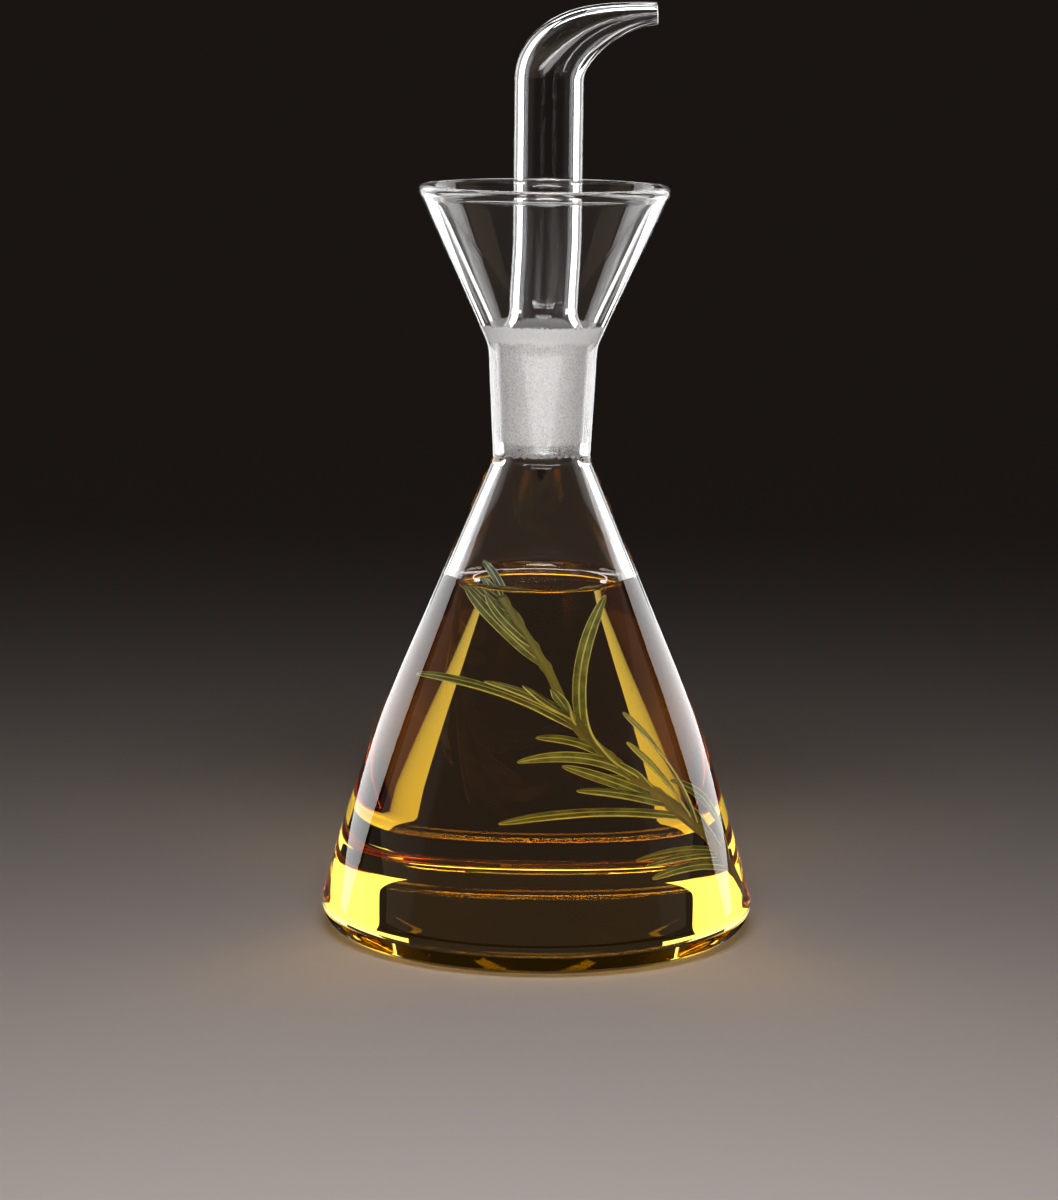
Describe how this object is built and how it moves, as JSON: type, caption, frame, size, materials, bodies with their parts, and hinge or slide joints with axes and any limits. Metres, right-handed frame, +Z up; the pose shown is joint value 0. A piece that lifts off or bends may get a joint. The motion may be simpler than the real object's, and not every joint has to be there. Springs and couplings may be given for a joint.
{
  "type": "glass oil jug",
  "caption": "Clear glass oil jug: a cone with a drip-catching funnel and a ground-in bent spout, filled with golden oil and a rosemary sprig.",
  "frame": {"origin": "the centre of the underside of the base, on the surface that the jug stands on", "axes": "+Z up along the jug's axis; the nozzle points to +X; -Y is the side that the picture shows"},
  "size_m": [0.089, 0.089, 0.1901],
  "materials": {
    "flask_glass": "clear, with a ground white band inside the neck",
    "spout_glass": "clear, with a ground white taper at its foot",
    "golden_oil": "clear golden liquid",
    "rosemary_green": "matt leaf with paler edges"
  },
  "bodies": {
    "root": {"flask": "flask_glass", "spout": "spout_glass", "oil": "golden_oil", "rosemary": "rosemary_green"}
  },
  "joints": []
}
